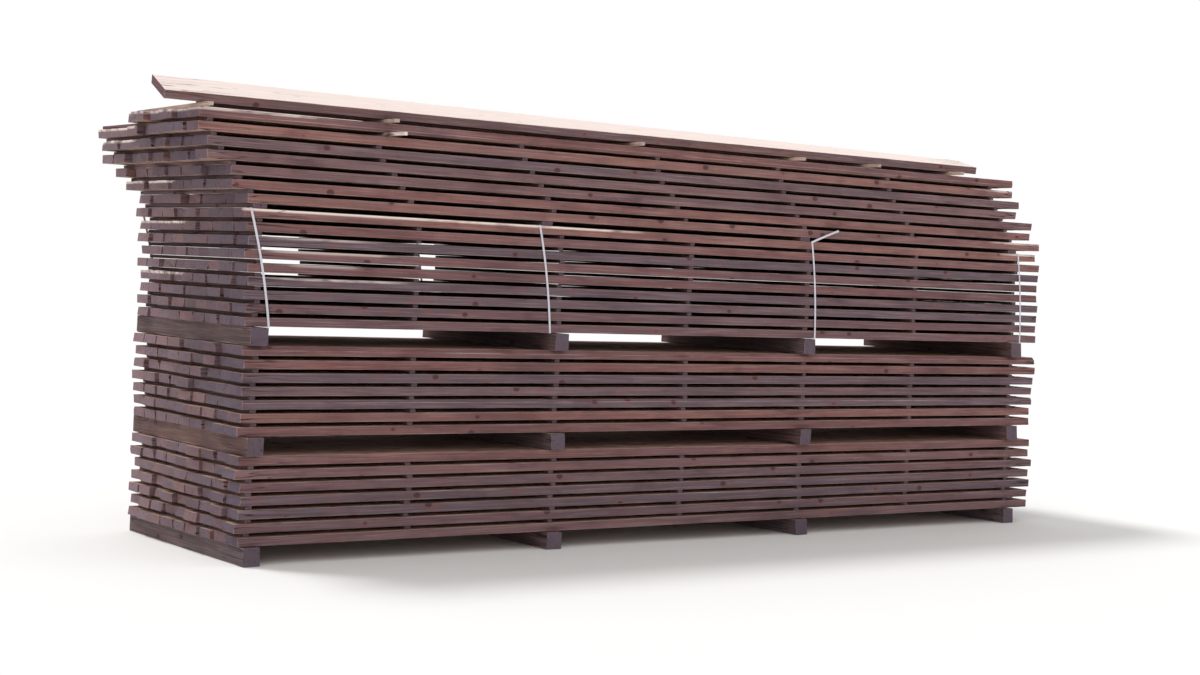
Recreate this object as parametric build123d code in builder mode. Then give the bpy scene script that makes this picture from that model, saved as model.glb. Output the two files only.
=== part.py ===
"""Stack of sawn lumber: four stickered packs of boards, one above the other, on timber bearers.

Frame: +X runs along the boards, the long face that is seen in front faces -Y, +Z is up.
It is built from the near end of the boards, and moved at the end so that the origin is on the
ground, under the middle of the whole stack. Millimetres.
"""

from build123d import *

import os
import random
from math import cos, degrees, radians, sin, tan

# Boards
board_length = 6000
board_width = 147
board_thickness = 50
board_gap = 8
boards_per_layer = 9
boards_in_top_layer = 6
trim_allowance = 35

# Layers in each pack, from the ground up
layers_in_pack = (7, 7, 9, 7)
strapped_pack = 3
top_pack = 4

# Stickers: the thin laths that keep the layers of one pack apart
sticker_thickness = 20
sticker_width = 32
sticker_stations = 7
near_inset = 75
far_inset = 210
sticker_play = 10
sticker_end_play = 9

# One sticker that was left pulled out: its pack, the layer below it and its place along the stack
pulled_sticker = (4, 6, 1)
pulled_sticker_shift = 75
pulled_sticker_reach = 190

# Bearers: the squared timbers that each pack stands on
bearer_width = 100
bearer_height = 100
bearer_overhang = 40
bearer_count = 4
top_lath_height = 25
top_lath_width = 75

# How far the board ends and edges stray from one line
end_scatter = 20
top_pack_end_scatter = 35
top_pack_slides = (5, 105, 125, 205, 260, 285, 300)
edge_recess = 6

# Wane: the sloping bark edge left along one board in so many
wane_every = 4
wane_least = 10
wane_most = 24
wane_least_share = 0.6  # of its depth on one face, the least depth on the other

# Plastic straps round the third pack
strap_width = 13
strap_thickness = 1.2
strap_clearance = 0.3
strap_bearer_gap = 10
strap_drifts = (126, 100, 60, 60)  # of each top from its foot, towards the near end
strap_bow = 14
strap_left_of_bearer = 2  # the other feet are right of theirs
straps_right_of_lath = (3, 4)  # the other tops are left of theirs
strap_overlap = 160
strap_overlap_inset = 40
loose_tail_strap = 3
tail_length = 220
tail_rise_angle = 22
tail_flare_radius = 900

# The single plank that lies tilted and twisted on top
plank_length = 5840
plank_width = 200
plank_thickness = 50
plank_start = -480
plank_setback = 12
plank_tilt_near = 26
plank_tilt_far = 15
plank_sections = 7
seat_clearance = 0.3

# The stray board under the plank: its front edge carries the plank near both ends
stray_board_length = 5480
stray_board_shares = (0.05, 0.99)

# Loose laths left on the top layer, under the plank, as shares of the plank's length
loose_lath_shares = (0.04, 0.22, 0.51, 0.71, 0.82, 0.955)
loose_lath_reach = 120
loose_lath_play = 35
loose_lath_skew = 7

# Sizes that follow
pack_width = boards_per_layer * board_width + (boards_per_layer - 1) * board_gap
top_layer_width = boards_in_top_layer * board_width + (boards_in_top_layer - 1) * board_gap
layer_pitch = board_thickness + sticker_thickness
station_step = (board_length - near_inset - far_inset) / (sticker_stations - 1)
stations = [near_inset + i * station_step for i in range(sticker_stations)]
bearer_stations = stations[:: (sticker_stations - 1) // (bearer_count - 1)]
strap_foot_offset = bearer_width / 2 + strap_bearer_gap + strap_width / 2
strap_lath_offset = top_lath_width / 2 + strap_bearer_gap + strap_width / 2
bearer_heights = [bearer_height, bearer_height, bearer_height, top_lath_height]
bearer_widths = [bearer_width, bearer_width, bearer_width, top_lath_width]
bearer_lengths = [pack_width + 2 * bearer_overhang] * 3 + [pack_width]
pack_heights = [n * board_thickness + (n - 1) * sticker_thickness for n in layers_in_pack]

# How near an edge has to be to the place where it is looked for
pick_range = 0.1


def layer_slide(pack, layer):
    """How far one layer has slipped along the stack: only the top pack leans, more with height."""
    return -top_pack_slides[layer - 1] if pack == top_pack else 0


def strap_places(number):
    """Where one strap crosses the underside and the top of its pack, along the stack."""
    station = bearer_stations[number - 1]
    foot = station - strap_foot_offset if number == strap_left_of_bearer else station + strap_foot_offset
    return foot, foot - strap_drifts[number - 1]


def pack_base(pack):
    """Height of the underside of a pack's lowest layer."""
    return sum(bearer_heights[:pack]) + sum(pack_heights[: pack - 1])


def plan_layer(pack, layer):
    """Each board of one layer as (first end, last end, middle across the stack)."""
    chance = random.Random(100 * pack + layer)
    scatter = top_pack_end_scatter if pack == top_pack else end_scatter
    squeezed = 1 < layer < layers_in_pack[pack - 1]
    edges = [edge_recess * chance.random() if squeezed else 0 for side in range(2)]
    pitch = (pack_width - sum(edges) - board_width) / (boards_per_layer - 1)
    first = -pack_width / 2 + edges[0] + board_width / 2
    unfinished = (pack, layer) == (top_pack, layers_in_pack[top_pack - 1])
    boards = []
    for i in range(boards_in_top_layer if unfinished else boards_per_layer):
        start = layer_slide(pack, layer) + scatter * chance.uniform(-1, 1)
        end = start + board_length + trim_allowance * chance.random()
        boards.append((start, end, first + i * pitch))
    return boards


# Each layer's plan, from the ground up
layer_plans = {
    (pack, layer): plan_layer(pack, layer)
    for pack in range(1, len(layers_in_pack) + 1)
    for layer in range(1, layers_in_pack[pack - 1] + 1)
}

pieces = {}


def wane_edges(boards, middle, side, height):
    """The long edge of one board, on one side of its middle and at one height."""
    across = middle + side * board_width / 2
    long_edges = boards.edges().filter_by(Axis.X)
    at_height = [e for e in long_edges if abs(e.center().Z - height) < pick_range]
    return [e for e in at_height if abs(e.center().Y - across) < pick_range]


# Layers: boards side by side, each with its own ends, some with wane on one edge
for (pack, layer), plan in layer_plans.items():
    chance = random.Random(1000 * pack + layer)
    base = pack_base(pack) + (layer - 1) * layer_pitch
    with BuildPart() as boards:
        with BuildSketch(Plane.XY.offset(base)):
            for start, end, middle in plan:
                with Locations(((start + end) / 2, middle)):
                    Rectangle(end - start, board_width)
        extrude(amount=board_thickness)
        for start, end, middle in plan:
            if chance.random() * wane_every < 1:
                side = chance.choice((-1, 1))
                height = base + chance.choice((0, board_thickness))
                depth = chance.uniform(wane_least, wane_most)
                other_depth = depth * chance.uniform(wane_least_share, 1)
                chamfer(wane_edges(boards, middle, side, height), depth, other_depth)
    pieces[f"pack_{pack}_layer_{layer}"] = boards.part

# Stickers: one across the stack at each station, between every two layers of a pack
for pack, layers in enumerate(layers_in_pack, start=1):
    chance = random.Random(pack)
    with BuildPart() as stickers:
        for layer in range(1, layers):
            base = pack_base(pack) + (layer - 1) * layer_pitch + board_thickness
            slide = (layer_slide(pack, layer) + layer_slide(pack, layer + 1)) / 2
            with BuildSketch(Plane.XY.offset(base)):
                for place, station in enumerate(stations):
                    pulled = (pack, layer, place) == pulled_sticker
                    shift, reach = (pulled_sticker_shift, pulled_sticker_reach) if pulled else (0, 0)
                    x = station + slide + shift + sticker_play * chance.uniform(-1, 1)
                    length = pack_width - 2 * edge_recess - 2 * sticker_end_play * chance.random()
                    with Locations((x, -reach)):
                        Rectangle(sticker_width, length)
            extrude(amount=sticker_thickness)
    pieces[f"pack_{pack}_stickers"] = stickers.part

# Bearers: squared timbers under the three lower packs, flat laths under the top one, beside the straps
bearer_names = ("ground_bearers", "pack_2_bearers", "pack_3_bearers", "pack_4_bearers")
for pack, name in enumerate(bearer_names, start=1):
    base = pack_base(pack) - bearer_heights[pack - 1]
    places = bearer_stations
    if pack == top_pack:
        sides = [-1 if number in straps_right_of_lath else 1 for number in range(1, bearer_count + 1)]
        places = [strap_places(n)[1] + side * strap_lath_offset for n, side in enumerate(sides, start=1)]
    with BuildPart() as bearers:
        with BuildSketch(Plane.XY.offset(base)):
            with Locations([(x, 0) for x in places]):
                Rectangle(bearer_widths[pack - 1], bearer_lengths[pack - 1])
        extrude(amount=bearer_heights[pack - 1])
    pieces[name] = bearers.part

# Straps: each a flat band round the third pack, lapped and welded on top.
# On the long faces it runs aslant and a little bowed, from beside a lath down to beside a bearer.
strap_base = pack_base(strapped_pack)
strap_deck = strap_base + pack_heights[strapped_pack - 1]
band_bottom = strap_base - strap_clearance - strap_thickness
band_top = strap_deck + strap_clearance + strap_thickness
band_side = pack_width / 2 + strap_clearance + strap_thickness

for number in range(1, bearer_count + 1):
    foot_x, top_x = strap_places(number)
    bowed_x = (foot_x + top_x) / 2 + strap_bow
    bowed_height = (band_bottom + band_top) / 2
    half = strap_width / 2
    lap_middle = -pack_width / 2 + strap_overlap_inset + strap_overlap / 2
    # Over the pack, under it, and the lap: place along, place across, underside and length
    flat_runs = (
        (top_x, 0, band_top - strap_thickness, 2 * band_side),
        (foot_x, 0, band_bottom, 2 * band_side),
        (top_x, lap_middle, band_top, strap_overlap),
    )
    with BuildPart() as strap:
        for x, y, height, length in flat_runs:
            with BuildSketch(Plane.XY.offset(height)):
                with Locations((x, y)):
                    Rectangle(strap_width, length)
            extrude(amount=strap_thickness)
        for side in (band_side, -band_side + strap_thickness):
            with BuildSketch(Plane.XZ.offset(-side)):
                with BuildLine():
                    for edge in (-half, half):
                        ThreePointArc(
                            (top_x + edge, band_top),
                            (bowed_x + edge, bowed_height),
                            (foot_x + edge, band_bottom),
                        )
                    Line((top_x - half, band_top), (top_x + half, band_top))
                    Line((foot_x - half, band_bottom), (foot_x + half, band_bottom))
                make_face()
            extrude(amount=strap_thickness)
        if number == loose_tail_strap:
            rise = radians(tail_rise_angle)
            at = Vector(top_x, -band_side + strap_thickness / 2, band_top - strap_width)
            with BuildSketch(Plane(at, x_dir=(cos(rise), 0, sin(rise)), z_dir=(-sin(rise), 0, cos(rise)))):
                with BuildLine():
                    JernArc((0, 0), (1, 0), tail_flare_radius, -degrees(tail_length / tail_flare_radius))
                trace(line_width=strap_thickness)
            extrude(amount=strap_width)
    pieces[f"strap_{number}"] = strap.part

# Loose laths: left across the unfinished top layer, a little askew, their ends past the front face
deck = pack_base(top_pack) + pack_heights[top_pack - 1]
chance = random.Random(top_pack)
with BuildPart() as laths:
    with BuildSketch(Plane.XY.offset(deck)):
        for share in loose_lath_shares:
            x = plank_start + share * plank_length
            skew = loose_lath_skew * chance.uniform(-1, 1)
            reach = loose_lath_reach - loose_lath_play * chance.random()
            with Locations(Location((x, (top_layer_width - pack_width - reach) / 2), skew)):
                Rectangle(sticker_width, top_layer_width + reach)
    extrude(amount=sticker_thickness)
pieces["loose_laths"] = laths.part

# Top plank: its low front edge lies on the loose laths, its back leans on the stray board
lath_top = deck + sticker_thickness
plank_front = -pack_width / 2 + plank_setback


def plank_tilt(share):
    """Tilt of the plank in radians at one place, a share of its length from its first end."""
    return radians(plank_tilt_near + (plank_tilt_far - plank_tilt_near) * share)


with BuildPart() as plank:
    for i in range(plank_sections):
        share = i / (plank_sections - 1)
        at = Vector(plank_start + share * plank_length, plank_front, lath_top + seat_clearance)
        tilt = plank_tilt(share)
        with BuildSketch(Plane(at, x_dir=(0, cos(tilt), sin(tilt)), z_dir=(1, 0, 0))):
            Rectangle(plank_width, plank_thickness, align=(Align.MIN, Align.MIN))
    loft(ruled=True)
pieces["top_plank"] = plank.part

# Stray board: flat on the loose laths, askew so that its edge meets the twisted plank at both shares
props = [
    Vector(
        plank_start + share * plank_length,
        plank_front + board_thickness / tan(plank_tilt(share)),
        lath_top,
    )
    for share in stray_board_shares
]
with BuildPart() as stray_board:
    with BuildSketch(Plane(props[0], x_dir=props[1] - props[0], z_dir=(0, 0, 1))):
        Rectangle(stray_board_length, board_width, align=(Align.MIN, Align.MIN))
    extrude(amount=board_thickness)
pieces["stray_board"] = stray_board.part

# Origin: on the ground, in the middle of the whole stack. Each piece goes to its own file.
boxes = [piece.bounding_box() for piece in pieces.values()]
middle_x = (min(box.min.X for box in boxes) + max(box.max.X for box in boxes)) / 2
middle_y = (min(box.min.Y for box in boxes) + max(box.max.Y for box in boxes)) / 2
os.makedirs("parts", exist_ok=True)
for name, piece in pieces.items():
    placed = piece.moved(Location((-middle_x, -middle_y, 0)))
    placed.label = name
    export_step(placed, f"parts/{name}.step")
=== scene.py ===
import bpy
import numpy as np
from mathutils import Matrix, Vector


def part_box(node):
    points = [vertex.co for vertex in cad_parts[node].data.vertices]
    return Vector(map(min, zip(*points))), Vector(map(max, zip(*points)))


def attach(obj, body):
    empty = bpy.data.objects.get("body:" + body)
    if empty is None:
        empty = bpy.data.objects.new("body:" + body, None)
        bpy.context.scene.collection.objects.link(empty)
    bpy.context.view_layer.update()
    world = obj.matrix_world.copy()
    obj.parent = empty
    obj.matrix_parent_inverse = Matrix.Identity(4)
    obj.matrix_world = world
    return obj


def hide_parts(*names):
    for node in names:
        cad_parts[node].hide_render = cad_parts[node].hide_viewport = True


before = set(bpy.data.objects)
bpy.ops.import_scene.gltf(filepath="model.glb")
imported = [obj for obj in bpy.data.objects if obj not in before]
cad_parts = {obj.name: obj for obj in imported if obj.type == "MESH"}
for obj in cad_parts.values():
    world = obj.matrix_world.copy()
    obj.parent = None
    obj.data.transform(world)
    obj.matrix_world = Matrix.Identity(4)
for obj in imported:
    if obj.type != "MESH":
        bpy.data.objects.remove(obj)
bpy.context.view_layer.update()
print("frame loaded:", len(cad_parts), "nodes")


# Small tools

sharpFrom = 16   # degrees between two faces from which their edge stays sharp


def linear(red, green, blue):
    # a screen colour, 0 to 255, as the linear colour that a shader wants
    c = np.array([red, green, blue]) / 255.0
    c = np.where(c <= 0.04045, c / 12.92, ((c + 0.055) / 1.055) ** 2.4)
    return (*c.tolist(), 1.0)


def wave(s, chance, step, order=3):
    # smooth noise along one line: random heights every step metres, joined by cosine ramps,
    # with a half as strong copy at half the step for each further order; about -1 to 1
    s = np.asarray(s, float)
    total, size = np.zeros_like(s), 0.0
    for k in range(order):
        at = (s - s.min()) / (step / 2 ** k) + chance.uniform(0, 1)
        heights = chance.uniform(-1, 1, int(at.max()) + 3)
        low = np.floor(at).astype(int)
        t = (1 - np.cos((at - low) * np.pi)) / 2
        total += (heights[low] * (1 - t) + heights[low + 1] * t) / 2 ** k
        size += 1 / 2 ** k
    return total / size


def surface(name, points, quads, triangles, values):
    # one mesh from whole arrays: points, four-sided and three-sided faces, and named point values
    mesh = bpy.data.meshes.new(name)
    mesh.from_pydata(points, [], quads.tolist() + triangles.tolist())
    for key, array in values.items():
        kind, field = ("FLOAT", "value") if array.ndim == 1 else ("FLOAT_VECTOR", "vector")
        mesh.attributes.new(key, kind, "POINT").data.foreach_set(field, array.astype(np.float32).ravel())
    mesh.polygons.foreach_set("use_smooth", np.ones(len(mesh.polygons), bool))
    mesh.set_sharp_from_angle(angle=np.radians(sharpFrom))
    mesh.validate()
    piece = bpy.data.objects.new(name, mesh)
    bpy.context.collection.objects.link(piece)
    return piece


# From CAD solids to cross sections

def nodeSolids(node):
    # the separate solids of a CAD node, each as its own welded points: faces that share a point
    # take the lowest label of the two, over and over until nothing changes
    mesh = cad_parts[node].data
    flat = np.empty(len(mesh.vertices) * 3)
    mesh.vertices.foreach_get("co", flat)
    points, same = np.unique(np.round(flat.reshape(-1, 3), 5), axis=0, return_inverse=True)
    same = same.ravel()
    mesh.calc_loop_triangles()
    corners = np.empty(len(mesh.loop_triangles) * 3, int)
    mesh.loop_triangles.foreach_get("vertices", corners)
    corners = same[corners].reshape(-1, 3)
    label = np.arange(len(points))
    while True:
        lowest = label[corners].min(axis=1)
        new = label.copy()
        np.minimum.at(new, corners.ravel(), np.repeat(lowest, 3))
        if (new == label).all():
            break
        label = new
    return [points[label == k] for k in np.unique(label)]


sameSection = 0.002   # metres along x within which a twisted timber's points share one section


def sections(points, places=2):
    # cross sections of a timber, each ordered by angle round its middle: a straight one has half
    # of its corners at each end of its longest axis, a twisted one has them at even places along x
    if places == 2:
        axis = np.linalg.svd(points - points.mean(axis=0))[2][0]
        axis *= np.sign(axis[np.abs(axis).argmax()])
        order = (points @ axis).argsort()
        rings = [points[order[:len(order) // 2]], points[order[len(order) // 2:]]]
    else:
        along = np.linspace(points[:, 0].min(), points[:, 0].max(), places)
        rings = [points[np.abs(points[:, 0] - x) < sameSection] for x in along]
    # angles are measured square to the line between the middles of the first and last section
    axis = rings[-1].mean(axis=0) - rings[0].mean(axis=0)
    axis /= np.linalg.norm(axis)
    out = np.array([axis[1], -axis[0], 0.0])
    out /= np.linalg.norm(out)
    up = np.cross(out, axis)
    up *= np.sign(up[2])
    result = []
    for ring in rings:
        spread = ring - ring.mean(axis=0)
        turned = ring[np.arctan2(spread @ up, spread @ out).argsort()]
        if result:   # start at the corner that carries on the ring before
            before = result[-1][0] - result[-1].mean(axis=0) + ring.mean(axis=0)
            turned = np.roll(turned, -np.linalg.norm(turned - before, axis=1).argmin(), axis=0)
        result.append(turned)
    return np.array(result)


# From cross sections to sawn timber

timberForm = {   # lengths in metres
    "endPlaces": (0.0, 0.004, 0.03, 0.09),   # how far from each end the close sections stand
    "edgeVaries": 0.6,                       # how much the corner radius varies, as a share of it
    "chipLength": 0.9, "chipFrom": 0.35,     # wavelength of the deep chips, and the height they start at
    "leastEdge": 0.0008, "mostEdge": 0.3,    # smallest corner radius, and the largest as a share of a side
    "thinLength": 1.3,                       # wavelength of the changes in thickness and width
    "capRings": ((0.975, 0.0), (0.72, 1.0), (0.4, 1.0)),   # size and roughness of the rings in an end
    "endArris": 0.002,                       # loops this near to an end count as its arris
    "heartOut": 0.12, "heartOff": (0.02, 0.16),   # how far the tree's heart lies from the timber's middle
    "nodeTurn": 11,                          # a node's timbers are counted from its seed times this
    # from one timber's grain to the next, and how many timbers before it starts again, since
    # 32-bit places far from 0 are coarse
    "grainApart": 17.3, "grainTurns": 101,
}


def stationsAlong(length, step):
    # places along a timber: close together at both ends, then evenly spaced
    ends = timberForm["endPlaces"]
    inner = np.linspace(ends[-1], length - ends[-1], max(2, int(length / step) + 1))
    near = np.array(ends[:-1])
    return np.concatenate([near, inner, (length - near)[::-1]])


def cornerRadii(s, sides, look, chance):
    # radius of each rounded corner along the timber, with a chip or a stretch of wane here and there
    form, count = timberForm, sides.shape[1]
    r = np.stack([wave(s, chance, look["chipEvery"]) for c in range(count)], axis=1)
    deep = np.stack([wave(s, chance, form["chipLength"], 2) for c in range(count)], axis=1)
    chips = np.clip(deep - form["chipFrom"], 0, 1) ** 1.5
    r = look["edge"] * (1 + form["edgeVaries"] * r) + look["chip"] * chips
    return np.clip(r, form["leastEdge"], form["mostEdge"] * sides[..., 0].min())[..., None]


def roundedLoop(corners, ahead, sides, r, look):
    # the loop round each section: a corner is cut back by r to both sides, with a point halfway
    # between it and the cut, and points are spread evenly along the sides from cut to cut
    behind = -np.roll(ahead, 1, axis=1)
    loop, onCorner = [], []
    for c in range(corners.shape[1]):
        a, b, m = corners[:, c] + behind[:, c] * r[:, c], corners[:, c] + ahead[:, c] * r[:, c], corners[:, c]
        loop += [a, a * 0.25 + m * 0.5 + b * 0.25, b]
        after = (c + 1) % corners.shape[1]
        stop = corners[:, after] + behind[:, after] * r[:, after]
        inside = max(1, int(sides[0, c, 0] / look["across"]))
        loop += [b + (stop - b) * t for t in (np.arange(inside) + 1) / (inside + 1)]
        onCorner += [0.0, 1.0, 0.0] + [0.0] * inside
    return np.stack(loop, axis=1), onCorner


def roughened(y, z, s, look, chance):
    # a loop in its own directions, y across and z up: thickness and width change along the timber,
    # the faces are rough, and both ends are sawn a little out of square, all of it inwards
    form, length = timberForm, s[-1]
    halfY, halfZ = np.abs(y).max(), np.abs(z).max()
    thin = [look["thin"] * (0.5 + 0.5 * wave(s, chance, form["thinLength"], 2))[:, None] for k in range(4)]
    rough = look["rough"] * chance.uniform(0, 1, y.shape)
    z = np.where(z > 0, z - (thin[0] + rough) * z / halfZ, z - (thin[1] + rough) * z / halfZ)
    y = np.where(y > 0, y - (thin[2] + rough) * y / halfY, y - (thin[3] + rough) * y / halfY)
    skew = chance.uniform(-1, 1, (2, 2)) * look["skew"]
    endCut = []
    for e, side in enumerate((1, -1)):
        cut = skew[e, 0] * y / halfY + skew[e, 1] * z / halfZ
        cut = cut - cut.min()
        fade = np.clip(1 - (s if side > 0 else length - s) / form["endPlaces"][-1], 0, 1)[:, None]
        endCut.append(side * cut * fade)
    return y, z, endCut[0] + endCut[1]


def longFaces(count, around):
    # four-sided faces between one loop and the next
    i, j = np.meshgrid(np.arange(count - 1), np.arange(around), indexing="ij")
    k = (j + 1) % around
    faces = [i * around + j, i * around + k, (i + 1) * around + k, (i + 1) * around + j]
    return np.stack(faces, -1).reshape(-1, 4)


def endCaps(loop, y, z, s, axis, look, chance):
    # both ends: rings that shrink towards the middle of the end, the inner ones sunk into it by
    # chance, and a fan that closes them; their points are numbered on from those of the loop
    count, around = loop.shape[:2]
    points, local, quads, triangles, total = [], [], [], [], count * around
    for first, direction in ((0, 1.0), (count - 1, -1.0)):
        rim, middle = loop[first], loop[first].mean(axis=0)
        last = first * around + np.arange(around)
        for shrink, sunk in timberForm["capRings"]:
            ring = middle + (rim - middle) * shrink
            ring = ring + axis * direction * look["endRough"] * chance.uniform(0, 1, (around, 1)) * sunk
            points.append(ring)
            local.append(np.stack([np.full(around, s[first]), y[first] * shrink, z[first] * shrink], 1))
            new = total + np.arange(around)
            total += around
            face = np.stack([last, new, np.roll(new, -1), np.roll(last, -1)], 1)
            quads.append(face if direction > 0 else face[:, ::-1])
            last = new
        points.append(middle[None])
        local.append(np.array([[s[first], y[first].mean(), z[first].mean()]]))
        fan = np.stack([last, np.full(around, total), np.roll(last, -1)], 1)
        triangles.append(fan if direction > 0 else fan[:, ::-1])
        total += 1
    return points, local, quads, np.concatenate(triangles)


def facingOut(points, quads, triangles, origin):
    # everything turned round if the volume, added up from the faces' tetrahedra, comes out negative
    volume = 0.0
    for faces, order in ((triangles, (0, 1, 2)), (quads, (0, 1, 2)), (quads, (0, 2, 3))):
        a, b, c = (points[faces[:, n]] - origin for n in order)
        volume += np.einsum("ij,ij->i", a, np.cross(b, c)).sum()
    return (quads[:, ::-1], triangles[:, ::-1]) if volume < 0 else (quads, triangles)


def grainPlaces(local, look, chance, number):
    # where each point lies in its tree, whose heart is off the timber and runs a little askew
    bend = chance.uniform(-1, 1, 2) * look["heartSlope"]
    out = chance.uniform(-timberForm["heartOut"], timberForm["heartOut"])
    heart = np.array([out, chance.choice([-1, 1]) * chance.uniform(*timberForm["heartOff"])])
    grain = local.copy()
    grain[:, 0] += timberForm["grainApart"] * (number % timberForm["grainTurns"])
    grain[:, 1] += heart[0] + bend[0] * local[:, 0]
    grain[:, 2] += heart[1] + bend[1] * local[:, 0]
    return grain


def timber(rings, look, chance, number):
    # a sawn timber: the corners of its cross sections are carried straight along its length and
    # rounded to a loop, which is roughened and closed at both ends
    middles = rings.mean(axis=1)
    away = np.linalg.norm(middles - middles[0], axis=1)   # of each ring from the first
    length = away[-1]
    axis = (middles[-1] - middles[0]) / length
    s = stationsAlong(length, look["step"])
    columns = [[np.interp(s, away, rings[:, c, k]) for k in range(3)] for c in range(rings.shape[1])]
    corners = np.transpose(np.array(columns), (2, 0, 1))
    following = np.roll(corners, -1, axis=1) - corners
    sides = np.linalg.norm(following, axis=2, keepdims=True)
    ahead = following / sides
    r = cornerRadii(s, sides, look, chance)
    loop, onCorner = roundedLoop(corners, ahead, sides, r, look)
    count, around = loop.shape[:2]
    # local directions: across its wide side, and up through its thickness
    across = ahead[:, sides[0, :, 0].argmax()].copy()
    across *= np.sign(across[:, np.abs(across[0]).argmax()])[:, None]
    up = np.cross(axis, across)
    up *= np.sign(up[0, 2]) if abs(up[0, 2]) > 0.1 else 1.0
    centre = corners.mean(axis=1)
    y = np.einsum("ijk,ik->ij", loop - centre[:, None], across)
    z = np.einsum("ijk,ik->ij", loop - centre[:, None], up)
    y, z, shift = roughened(y, z, s, look, chance)
    loop = centre[:, None] + across[:, None] * y[..., None] + up[:, None] * z[..., None]
    loop = loop + axis * shift[..., None]
    capPoints, capLocal, capQuads, triangles = endCaps(loop, y, z, s, axis, look, chance)
    points = np.concatenate([loop.reshape(-1, 3)] + capPoints)
    local = np.concatenate([np.stack([np.repeat(s, around), y.ravel(), z.ravel()], 1)] + capLocal)
    quads = np.concatenate([longFaces(count, around)] + capQuads)
    quads, triangles = facingOut(points, quads, triangles, middles[0])
    # values that the wood reads at each point
    capZeros = np.zeros(len(points) - count * around)
    near = timberForm["endArris"]
    atEnd = np.repeat((s < near) | (s > length - near), around)
    grain = grainPlaces(local, look, chance, number)
    values = {
        "grain": grain,
        "endFace": np.concatenate([np.zeros(count * around), capZeros + 1]),
        "fromEnd": np.minimum(local[:, 0], length - local[:, 0]),
        "tone": np.tile(chance.uniform(0, 1, 3), (len(points), 1)),
        "arris": np.minimum(np.concatenate([np.tile(onCorner, count) + atEnd, capZeros]), 1.0),
        "below": look["sunDepth"] * (points[:, 2].max() - points[:, 2]),   # under the timber's top
    }
    return points, quads, triangles, values


# Where the low sun catches an upper edge of a node, measured from the strapped pack's near front
# corner: from and to along the stack, from and to across it, and how strongly

corner = np.array(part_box("pack_3_layer_9")[0])
sunFade = 0.2   # metres over which it fades at both ends
sunSpots = {
    "pack_3_layer_9": [(-0.15, 2.6, -0.1, 0.03, 1.0), (5.6, 6.5, -0.1, 0.03, 0.8)],
    "pack_3_layer_8": [(-0.4, 0.2, 0.75, 1.6, 1.0)],
    "pack_3_layer_7": [(0.1, 0.8, -0.1, 0.03, 0.5)],
    "pack_3_layer_6": [(0.05, 1.0, -0.1, 0.03, 0.55)],
    "pack_3_layer_5": [(0.1, 0.8, -0.1, 0.03, 0.4)],
    "pack_3_layer_4": [(0.1, 1.0, -0.1, 0.03, 0.7), (-0.4, 0.2, 0.75, 1.6, 0.9)],
    "pack_4_layer_1": [(5.5, 6.5, -0.1, 0.03, 0.7)],
    "pack_4_layer_2": [(-0.6, 0.2, 0.75, 1.6, 0.9)],
    "pack_4_layer_5": [(-0.7, 0.2, 0.85, 1.6, 0.9)],
    "pack_4_layer_6": [(-0.7, 0.2, 0.80, 1.6, 0.9), (5.3, 6.5, -0.1, 0.03, 0.7)],
    "pack_4_layer_7": [(-0.7, 0.5, -0.1, 1.6, 0.7)],
    "pack_4_stickers": [(0.1, 2.2, -0.3, -0.03, 1.0)],
}


def sunOn(points, node):
    # how strongly the sun reaches each point of a node, fading towards both ends of each stretch
    along, across = points[:, 0] - corner[0], points[:, 1] - corner[1]
    lit = np.zeros(len(points))
    for near, far, front, back, strength in sunSpots.get(node, ()):
        inside = (along >= near) & (along <= far) & (across >= front) & (across <= back)
        fade = np.minimum(along - near, far - along) / sunFade
        lit = np.maximum(lit, inside * strength * np.clip(fade, 0, 1))
    return lit


outerDepth = 0.03   # metres: a timber this near to a long face of its node shows its side


def timberPiece(name, node, look, material, seed):
    # every solid of a CAD node as a sawn timber, joined in one piece that stands for the node
    chance = np.random.default_rng(seed)
    points, quads, triangles, values, total = [], [], [], {}, 0
    solids = nodeSolids(node)
    solids.sort(key=lambda p: (round(p[:, 2].min(), 3), round(p[:, 1].min(), 3), p[:, 0].min()))
    front, back = min(p[:, 1].min() for p in solids), max(p[:, 1].max() for p in solids)
    for number, solid in enumerate(solids):
        outer = solid[:, 1].min() < front + outerDepth or solid[:, 1].max() > back - outerDepth
        detail = dict(look, step=look["step"] if outer else look["innerStep"])
        place = seed * timberForm["nodeTurn"] + number
        p, q, t, v = timber(sections(solid, look["places"]), detail, chance, place)
        v["sunlit"] = sunOn(p, node)
        points.append(p)
        quads.append(q + total)
        triangles.append(t + total)
        for key, array in v.items():
            values.setdefault(key, []).append(array)
        total += len(p)
    values = {key: np.concatenate(arrays) for key, arrays in values.items()}
    piece = surface(name, np.concatenate(points), np.concatenate(quads), np.concatenate(triangles), values)
    piece.data.materials.append(material)
    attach(piece, "root")
    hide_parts(node)
    return piece


# Materials

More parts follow.
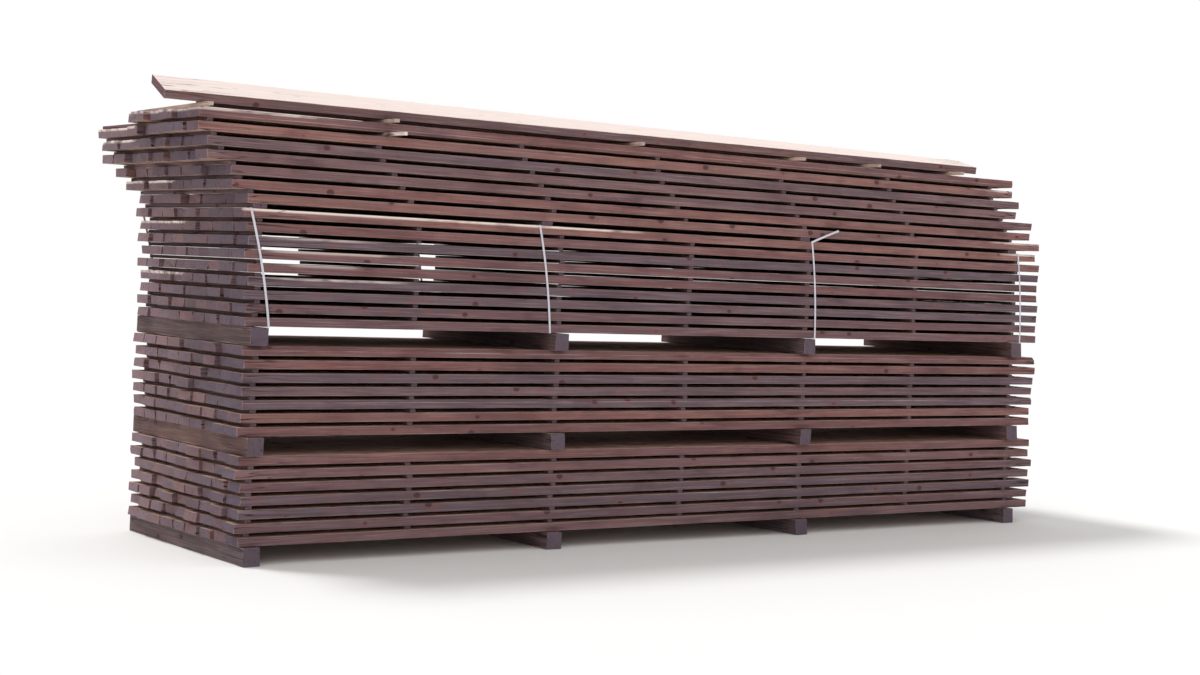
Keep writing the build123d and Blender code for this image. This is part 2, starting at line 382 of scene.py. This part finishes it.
class Nodes:
    # a short way to lay out a material: each call adds one node and gives back its output
    def __init__(self, name):
        self.material = bpy.data.materials.new(name)
        self.material.use_nodes = True
        self.tree = self.material.node_tree
        self.shader = self.tree.nodes["Principled BSDF"]

    def add(self, kind, inputs=None, output=0, **settings):
        # one node with its settings and inputs
        node = self.tree.nodes.new(kind)
        for key, value in settings.items():
            setattr(node, key, value)
        for key, value in (inputs or {}).items():
            self.plug(node.inputs[key], value)
        return node.outputs[output]

    def plug(self, socket, value):
        # a link if the value is another node's output, otherwise the value itself
        if isinstance(value, bpy.types.NodeSocket):
            self.tree.links.new(value, socket)
        else:
            socket.default_value = value

    def math(self, operation, a, b=0.0):
        # one sum on a and b
        return self.add("ShaderNodeMath", {0: a, 1: b}, operation=operation)

    def times(self, a, b):
        # a times b
        return self.math("MULTIPLY", a, b)

    def ramp(self, value, low, high):
        # 0 at low and before it, 1 at high and past it, straight between
        return self.add("ShaderNodeMapRange", {0: value, 1: low, 2: high}, clamp=True)

    def line(self, value, width, soft):
        # 1 where noise crosses its middle, which draws thin lines, and 0 away from it
        return self.ramp(self.math("ABSOLUTE", self.math("SUBTRACT", value, 0.5)), width, soft)

    def mix(self, share, a, b):
        # colour a times (1 - share), plus colour b times share
        node = self.tree.nodes.new("ShaderNodeMix")
        node.data_type = "RGBA"
        self.plug(node.inputs[0], share)
        self.plug(node.inputs[6], a)
        self.plug(node.inputs[7], b)
        return node.outputs[2]

    def value(self, name, part="Fac"):
        # a value that the mesh keeps at its points
        node = self.tree.nodes.new("ShaderNodeAttribute")
        node.attribute_name = name
        return node.outputs[part]

    def split(self, vector):
        # the x, y and z of a vector
        return list(self.add("ShaderNodeSeparateXYZ", {0: vector}).node.outputs)

    def stretched(self, vector, scale):
        # the vector times a scale for each direction
        return self.add("ShaderNodeVectorMath", {0: vector, 1: scale}, operation="MULTIPLY")

    def noise(self, vector, scale=1.0, detail=3.0, rough=0.55):
        # smooth noise about 0.5, with finer copies added, each rough times as strong as the last
        inputs = {"Vector": vector, "Scale": scale, "Detail": detail, "Roughness": rough}
        return self.add("ShaderNodeTexNoise", inputs)


sawnWood = {
    # colours as seen on screen; the wood colours are the wood's own colour with the bluish shade of the
    # stack's shaded side painted in
    "plain": (131, 99, 99), "warm": (160, 113, 103), "red": (126, 82, 80), "grey": (106, 93, 102),
    "freshAndGapLight": (214, 178, 156), "wornAndRimLight": (190, 164, 160), "stain": (60, 44, 50), "crack": (30, 23, 22),
    # the last two end colours are painted shade and painted light on the ends
    "endPlain": (114, 97, 104), "endDark": (70, 55, 62), "endShade": (86, 74, 90), "endLit": (150, 124, 130),
    "sunny": (240, 222, 212), "topSunPale": None,
    # how strongly each mark shows, from 0 to 1
    "ringShow": 0.24, "streakShow": 0.5, "stainShow": 0.5, "knotShow": 0.8, "wornAndRimLightShow": 0.7, "fineShow": 0.35,
    "relief": 0.7, "roughness": 0.82,
    # metres: from one year ring to the next, and how far noise bends them
    "ringPitch": 0.0045, "ringBend": 0.026,
    # metres: depths of the relief
    "sawDepth": 0.0013, "streakDepth": 0.0014, "fibreDepth": 0.0006, "crackDepth": 0.0018,
    # metres, where each begins and where it is full: splits, from an end; sun, under an upper edge;
    # the painted shade and the painted light of the ends, across the stack from its middle
    "splitReach": (0.45, 0.05), "sunReach": (0.017, 0.009),
    "shadeReach": (0.1, -0.6), "litReach": (0.0, 0.75),
}
woodScale = {   # cells per metre of each pattern: along the grain and in the two directions across it
    "wander": (1.1, 9.0, 9.0), "streak": (2.2, 130.0, 130.0), "fibre": (7.0, 420.0, 420.0),
    "saw": (190.0, 7.0, 7.0), "broad": (0.8, 6.0, 6.0), "smear": (3.5, 14.0, 14.0),
    "knots": (5.2, 7.5, 7.5), "split": (1.3, 34.0, 34.0),
    "stain": (1.5, 1.5, 3.6),   # this one in the stack's own directions
}


def woodMarks(n, look):
    # every pattern of the wood, by name. Year rings are the distance from the heart, bent by
    # noise, divided by the ring pitch; knots are cells stretched along the grain
    grain = n.value("grain", "Vector")
    along, out, through = n.split(grain)
    marks = {"along": along, "out": out, "through": through, "here": n.add("ShaderNodeTexCoord", output=3)}
    marks["tone"] = n.split(n.value("tone", "Vector"))
    marks.update((name, n.value(name)) for name in ("endFace", "fromEnd", "arris", "below", "sunlit"))
    for name, detail, rough in (
        ("wander", 2.0, 0.55), ("streak", 4.0, 0.65), ("fibre", 3.0, 0.7), ("saw", 2.0, 0.55),
        ("broad", 3.0, 0.55), ("smear", 3.0, 0.6), ("split", 1.0, 0.55), ("stain", 4.0, 0.6),
    ):
        place = marks["here"] if name == "stain" else grain
        marks[name] = n.noise(n.stretched(place, woodScale[name]), 1.0, detail, rough)
    squares = [n.math("POWER", part, 2.0) for part in (out, through)]
    distance = n.math("SQRT", n.math("ADD", *squares))
    marks["radius"] = n.math("ADD", distance, n.times(marks["wander"], look["ringBend"]))
    sawtooth = n.math("FRACT", n.math("DIVIDE", marks["radius"], look["ringPitch"]))
    marks["ring"] = n.math("POWER", sawtooth, 2.0)
    knots = n.stretched(grain, woodScale["knots"])
    cells = n.add("ShaderNodeTexVoronoi", {"Vector": knots, "Scale": 1.0}).node
    fromKnot = n.math("ADD", cells.outputs["Distance"], n.times(marks["streak"], 0.05))
    marks["knot"], marks["halo"] = n.ramp(fromKnot, 0.155, 0.125), n.ramp(fromKnot, 0.38, 0.15)
    # how far a face looks up, and whether it is one of the wide faces
    normal = n.add("ShaderNodeNewGeometry", output=1)
    marks["upward"] = n.add("ShaderNodeSeparateXYZ", {0: normal}, 2)
    marks["flat"] = n.ramp(n.math("ABSOLUTE", marks["upward"]), 0.8, 0.97)
    return marks


def faceColour(n, look, marks):
    # the long faces: plain, drawn towards warm, red or grey by the board's own three numbers and,
    # in patches along it, by noise; the wide faces have kept more of their new-sawn colour, made paler still
    # as painted light let into the gaps between boards
    streak, broad, smear, tone = marks["streak"], marks["broad"], marks["smear"], marks["tone"]
    warmth = n.math("ADD", tone[0], n.times(broad, 1.5))
    redness = n.math("ADD", tone[1], n.times(smear, 1.6))
    greyness = n.math("ADD", tone[2], n.times(broad, 1.1))
    stain = linear(*look["stain"])
    colour = n.mix(n.ramp(warmth, 1.0, 1.75), linear(*look["plain"]), linear(*look["warm"]))
    colour = n.mix(n.times(n.ramp(redness, 1.1, 1.8), 0.8), colour, linear(*look["red"]))
    colour = n.mix(n.times(n.ramp(greyness, 0.75, 1.4), 0.85), colour, linear(*look["grey"]))
    # the wide faces: new-sawn colour, and painted light that lightens the gaps between boards
    colour = n.mix(n.times(marks["flat"], 0.7), colour, linear(*look["freshAndGapLight"]))
    # darker and lighter streaks, the rings, then fine fibres and the saw's marks across them
    colour = n.mix(n.times(n.ramp(streak, 0.38, 0.8), look["streakShow"]), colour, stain)
    colour = n.mix(n.times(n.ramp(streak, 0.5, 0.22), 0.3), colour, linear(*look["wornAndRimLight"]))
    colour = n.mix(n.times(marks["ring"], look["ringShow"]), colour, stain)
    sawn = n.times(n.ramp(marks["saw"], 0.55, 0.75), 0.6)
    fine = n.math("MAXIMUM", n.ramp(marks["fibre"], 0.52, 0.72), sawn)
    colour = n.mix(n.times(fine, look["fineShow"]), colour, stain)
    # knots, each in a red halo
    colour = n.mix(n.times(marks["halo"], 0.45), colour, linear(*look["red"]))
    colour = n.mix(n.times(marks["knot"], look["knotShow"]), colour, stain)
    # weather stains that run over several boards, and dark smears along single ones
    dirt = n.math("MAXIMUM", n.ramp(marks["stain"], 0.5, 0.75), n.times(n.ramp(smear, 0.56, 0.74), 0.8))
    colour = n.mix(n.times(dirt, look["stainShow"]), colour, stain)
    # pale arrises: wear, and a painted highlight along the board edges and end rims
    wornAndRimLight = n.times(n.times(marks["arris"], n.ramp(smear, 0.62, 0.42)), look["wornAndRimLightShow"])
    colour = n.mix(wornAndRimLight, colour, linear(*look["wornAndRimLight"]))
    if look["topSunPale"]:   # painted light: the top side is painted pale, as if in full sun
        pale = n.mix(n.times(n.ramp(streak, 0.42, 0.8), 0.2), linear(*look["topSunPale"]), colour)
        pale = n.mix(n.times(n.math("MAXIMUM", marks["ring"], marks["knot"]), 0.14), pale, colour)
        colour = n.mix(n.ramp(marks["upward"], 0.7, 0.85), colour, pale)
    return colour


def endColour(n, look, marks):
    # the sawn ends: greyer, with dark rings, with painted shade towards the front and painted light towards
    # the back
    tone, dark = marks["tone"], linear(*look["endDark"])
    colour = n.mix(n.times(marks["ring"], 0.45), linear(*look["endPlain"]), dark)
    colour = n.mix(n.times(n.ramp(tone[0], 0.6, 1.0), 0.4), colour, linear(*look["warm"]))
    colour = n.mix(n.times(n.ramp(marks["stain"], 0.42, 0.7), 0.55), colour, dark)
    colour = n.mix(n.times(n.ramp(tone[2], 0.6, 1.0), 0.4), colour, dark)
    across = n.add("ShaderNodeSeparateXYZ", {0: marks["here"]}, 1)
    # painted shade on the ends towards the front of the stack, painted light towards the back
    colour = n.mix(n.times(n.ramp(across, *look["shadeReach"]), 0.45), colour, linear(*look["endShade"]))
    return n.mix(n.times(n.ramp(across, *look["litReach"]), 0.5), colour, linear(*look["endLit"]))


def woodCracks(n, look, marks):
    # checks on the ends, which run out from the heart, and splits along the faces near the ends
    turn = n.math("ARCTAN2", marks["through"], marks["out"])
    spoke = {0: n.times(turn, 7.0), 1: n.times(marks["radius"], 8.0), 2: marks["along"]}
    spoke = n.noise(n.add("ShaderNodeCombineXYZ", spoke), 1.2, 1.0)
    check = n.times(n.times(n.line(spoke, 0.012, 0.003), marks["endFace"]), 0.8)
    split = n.times(n.line(marks["split"], 0.018, 0.005), n.ramp(marks["fromEnd"], *look["splitReach"]))
    split = n.times(split, n.math("SUBTRACT", 1.0, marks["endFace"]))
    return n.math("MAXIMUM", check, split)


def sunCatch(n, look, marks):
    # upper edges that catch the sun, broken up by noise and weak on the wide faces
    catch = n.times(n.ramp(marks["below"], *look["sunReach"]), marks["sunlit"])
    catch = n.times(catch, n.ramp(marks["smear"], 0.68, 0.5))
    return n.times(catch, n.math("SUBTRACT", 1.0, n.times(marks["flat"], 0.8)))


def woodMaterial(name, look):
    # rough sawn wood: face and end colours, sunny edges and cracks; its relief is each mark times
    # its depth, added up, with the cracks taken off
    n = Nodes(name)
    marks = woodMarks(n, look)
    crack = woodCracks(n, look, marks)
    colour = n.mix(marks["endFace"], faceColour(n, look, marks), endColour(n, look, marks))
    colour = n.mix(n.times(sunCatch(n, look, marks), 0.9), colour, linear(*look["sunny"]))
    colour = n.mix(n.times(crack, 0.85), colour, linear(*look["crack"]))
    n.plug(n.shader.inputs["Base Color"], colour)
    height = n.times(marks["saw"], look["sawDepth"])
    height = n.math("ADD", height, n.times(marks["streak"], look["streakDepth"]))
    height = n.math("ADD", height, n.times(marks["fibre"], look["fibreDepth"]))
    height = n.math("SUBTRACT", height, n.times(crack, look["crackDepth"]))
    bump = n.add("ShaderNodeBump", {"Strength": look["relief"], "Distance": 1.0, "Height": height})
    n.plug(n.shader.inputs["Normal"], bump)
    dull = n.math("ADD", look["roughness"] - 0.06, n.times(marks["streak"], 0.12))
    n.plug(n.shader.inputs["Roughness"], dull)
    n.shader.inputs["Specular IOR Level"].default_value = 0.25
    return n.material


lathLook = dict(sawnWood, plain=(112, 90, 87), warm=(132, 102, 92), red=(100, 76, 75), grey=(92, 80, 86),
                endPlain=(104, 84, 84))
bearerLook = dict(sawnWood, plain=(104, 82, 78), warm=(122, 92, 82), red=(94, 69, 66), grey=(94, 83, 85),
                  stainShow=0.65, freshAndGapLight=(116, 91, 82))
# the plank's pale top is painted light, as if in full sun
plankLook = dict(sawnWood, topSunPale=(235, 220, 213), plain=(128, 92, 82), stainShow=0.3,
                 endPlain=(124, 84, 74), endDark=(84, 54, 50))
# loose laths: pale as newly broken wood, and paler still as painted sunlight
looseSunlitLook = dict(sawnWood, plain=(206, 180, 160), warm=(222, 192, 166), red=(190, 154, 134),
                 grey=(176, 160, 148), stainShow=0.15, endPlain=(236, 218, 200), endDark=(200, 176, 156))
boardWood = woodMaterial("sawnBoard", sawnWood)
lathWood = woodMaterial("lathWood", lathLook)
bearerWood = woodMaterial("bearerWood", bearerLook)
plankWood = woodMaterial("plankWood", plankLook)
looseWood = woodMaterial("looseLathWood", looseSunlitLook)
print("materials ready")


# Boards, layer by layer

boardForm = {   # metres
    "step": 0.06, "innerStep": 0.75, "across": 0.05,   # spacing of points along, along inside, and round
    "edge": 0.0022, "chip": 0.012, "chipEvery": 0.12,  # corner radius, depth and spacing of its chips
    "thin": 0.0022, "rough": 0.0006,                   # most that thickness varies, roughness of the faces
    "skew": 0.004, "endRough": 0.0012,                 # ends out of square, roughness of the ends
    "heartSlope": 0.012, "sunDepth": 1.0,              # slope of the heart; 0 lights a sunny spot all over
    "places": 2,                                       # cross sections that the solid has
}
layerNames = sorted(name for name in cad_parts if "_layer_" in name)
for index, node in enumerate(layerNames):
    timberPiece("boards_" + node, node, boardForm, boardWood, 100 + index)
print("boards laid in", len(layerNames), "layers")


# Stickers, bearers, loose laths, the stray board and the top plank

stickerForm = dict(boardForm, step=0.7, innerStep=0.7, across=0.03, edge=0.0012, chip=0.003, thin=0.001,
                   skew=0.003, sunDepth=0.0)
bearerForm = dict(boardForm, step=0.08, innerStep=0.08, across=0.04, edge=0.004, chip=0.018, thin=0.003,
                  skew=0.006)
topLathForm = dict(stickerForm, step=0.1, innerStep=0.1)
looseForm = dict(stickerForm, step=0.05, innerStep=0.05, chip=0.006)
strayForm = dict(boardForm, innerStep=0.06)
plankForm = dict(boardForm, places=7, step=0.05, innerStep=0.05, across=0.03, edge=0.0025, chip=0.010,
                 thin=0.002, skew=0.005)
for index, pack in enumerate((1, 2, 3, 4)):
    timberPiece(f"laths_pack_{pack}", f"pack_{pack}_stickers", stickerForm, lathWood, 300 + index)
for index, node in enumerate(("ground_bearers", "pack_2_bearers", "pack_3_bearers")):
    timberPiece("timber_" + node, node, bearerForm, bearerWood, 400 + index)
timberPiece("timber_pack_4_bearers", "pack_4_bearers", topLathForm, lathWood, 410)
timberPiece("laths_loose", "loose_laths", looseForm, looseWood, 420)
timberPiece("plank_on_top", "top_plank", plankForm, plankWood, 430)
timberPiece("board_stray", "stray_board", strayForm, boardWood, 440)
print("laths, bearers and plank laid")


# Straps keep their CAD shape, in white plastic

strapLook = {
    "plain": (206, 204, 214), "dirty": (156, 149, 152), "roughness": 0.42,
    "dirtScale": 9.0, "pressScale": 420.0,   # cells per metre of the dirt and of the pressed surface
    "pressDepth": 0.001,                     # metres
}


def strapMaterial(look):
    # white packing strap with faint dirt, its pressed surface as fine relief
    n = Nodes("strapPlastic")
    here = n.add("ShaderNodeTexCoord", output=3)
    dirt = n.noise(n.stretched(here, (look["dirtScale"],) * 3), 1.0, 4.0)
    share = n.times(n.ramp(dirt, 0.45, 0.8), 0.5)
    n.plug(n.shader.inputs["Base Color"], n.mix(share, linear(*look["plain"]), linear(*look["dirty"])))
    press = n.noise(n.stretched(here, (look["pressScale"],) * 3), 1.0, 1.0)
    bump = n.add("ShaderNodeBump", {"Strength": 0.3, "Distance": look["pressDepth"], "Height": press})
    n.plug(n.shader.inputs["Normal"], bump)
    n.shader.inputs["Roughness"].default_value = look["roughness"]
    return n.material


strapPlastic = strapMaterial(strapLook)
for number in range(1, 5):
    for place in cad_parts[f"strap_{number}"].material_slots:
        place.material = strapPlastic
print("straps dressed")


# Floor, backdrop and light

floorLook = {"half": 160.0, "shade": (236, 235, 233), "roughness": 0.9, "fade": (7.0, 22.0)}   # metres
lightLook = {
    "world": 0.75,
    # strength, width in degrees, and the direction that the light travels in
    "keySun": (1.7, 14.0, (0.3, -0.45, -1.0)),
    "fillSun": (0.55, 60.0, (0.7, 0.75, -0.35)),
}


def makeFloor():
    # a flat square; its colour fades to the white of the background far from the stack
    half = floorLook["half"]
    mesh = bpy.data.meshes.new("floor")
    square = [(-half, -half, 0), (half, -half, 0), (half, half, 0), (-half, half, 0)]
    mesh.from_pydata(square, [], [(0, 1, 2, 3)])
    floor = bpy.data.objects.new("floor", mesh)
    bpy.context.collection.objects.link(floor)
    n = Nodes("paleFloor")
    here = n.add("ShaderNodeTexCoord", output=3)
    far = n.add("ShaderNodeVectorMath", {0: here}, 1, operation="LENGTH")
    n.shader.inputs["Base Color"].default_value = linear(*floorLook["shade"])
    n.shader.inputs["Roughness"].default_value = floorLook["roughness"]
    glow = n.add("ShaderNodeEmission", {"Color": (1, 1, 1, 1), "Strength": 1.0})
    both = n.add("ShaderNodeMixShader", {0: n.ramp(far, *floorLook["fade"]), 1: n.shader.outputs[0], 2: glow})
    n.plug(n.tree.nodes["Material Output"].inputs["Surface"], both)
    mesh.materials.append(n.material)


def makeLight():
    # a white world, plain white where the camera or a reflection sees it, and two soft suns
    world = bpy.data.worlds.new("studio")
    bpy.context.scene.world = world
    world.use_nodes = True
    tree = world.node_tree
    plain = tree.nodes["Background"]
    plain.inputs["Color"].default_value = (1, 1, 1, 1)
    plain.inputs["Strength"].default_value = lightLook["world"]
    seen = tree.nodes.new("ShaderNodeBackground")
    seen.inputs["Color"].default_value = (1, 1, 1, 1)
    seen.inputs["Strength"].default_value = 1.0
    path = tree.nodes.new("ShaderNodeLightPath")
    blend = tree.nodes.new("ShaderNodeMixShader")
    most = tree.nodes.new("ShaderNodeMath")
    most.operation = "MAXIMUM"
    tree.links.new(path.outputs["Is Camera Ray"], most.inputs[0])
    tree.links.new(path.outputs["Is Glossy Ray"], most.inputs[1])
    tree.links.new(most.outputs[0], blend.inputs[0])
    tree.links.new(plain.outputs[0], blend.inputs[1])
    tree.links.new(seen.outputs[0], blend.inputs[2])
    tree.links.new(blend.outputs[0], tree.nodes["World Output"].inputs["Surface"])
    for name in ("keySun", "fillSun"):
        strength, width, toward = lightLook[name]
        lamp = bpy.data.lights.new(name, "SUN")
        lamp.energy, lamp.angle = strength, np.radians(width)
        holder = bpy.data.objects.new(name, lamp)
        holder.rotation_mode = "QUATERNION"
        holder.rotation_quaternion = Vector(toward).to_track_quat("-Z", "Y")
        bpy.context.collection.objects.link(holder)


# Camera: the photograph's standing point, measured from the strapped pack's near front corner

view = {
    "eye": (-4.481, -9.21, 1.594),     # from that corner along and across, and above the ground
    "aim": (2.289, 0.0, 1.22),         # the point in the picture's middle, from the same corner
    "roll": 2.5, "lens": 59.0,         # degrees, millimetres
}


def makeCamera():
    # the camera stands at the eye, looks along aim minus eye and is rolled about that line
    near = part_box("pack_3_layer_9")[0]
    eye = Vector((near[0] + view["eye"][0], near[1] + view["eye"][1], view["eye"][2]))
    aim = Vector((near[0] + view["aim"][0], near[1] + view["aim"][1], view["aim"][2]))
    lens = bpy.data.cameras.new("camera")
    lens.lens, lens.sensor_width, lens.sensor_fit = view["lens"], 36.0, "HORIZONTAL"
    lens.clip_end = 500.0
    camera = bpy.data.objects.new("camera", lens)
    turn = (aim - eye).to_track_quat("-Z", "Y").to_matrix().to_4x4()
    camera.matrix_world = Matrix.Translation(eye) @ turn @ Matrix.Rotation(np.radians(view["roll"]), 4, "Z")
    bpy.context.collection.objects.link(camera)
    bpy.context.scene.camera = camera


makeFloor()
makeLight()
makeCamera()
bpy.context.scene.view_settings.view_transform = "Standard"
print("floor, light and camera set")
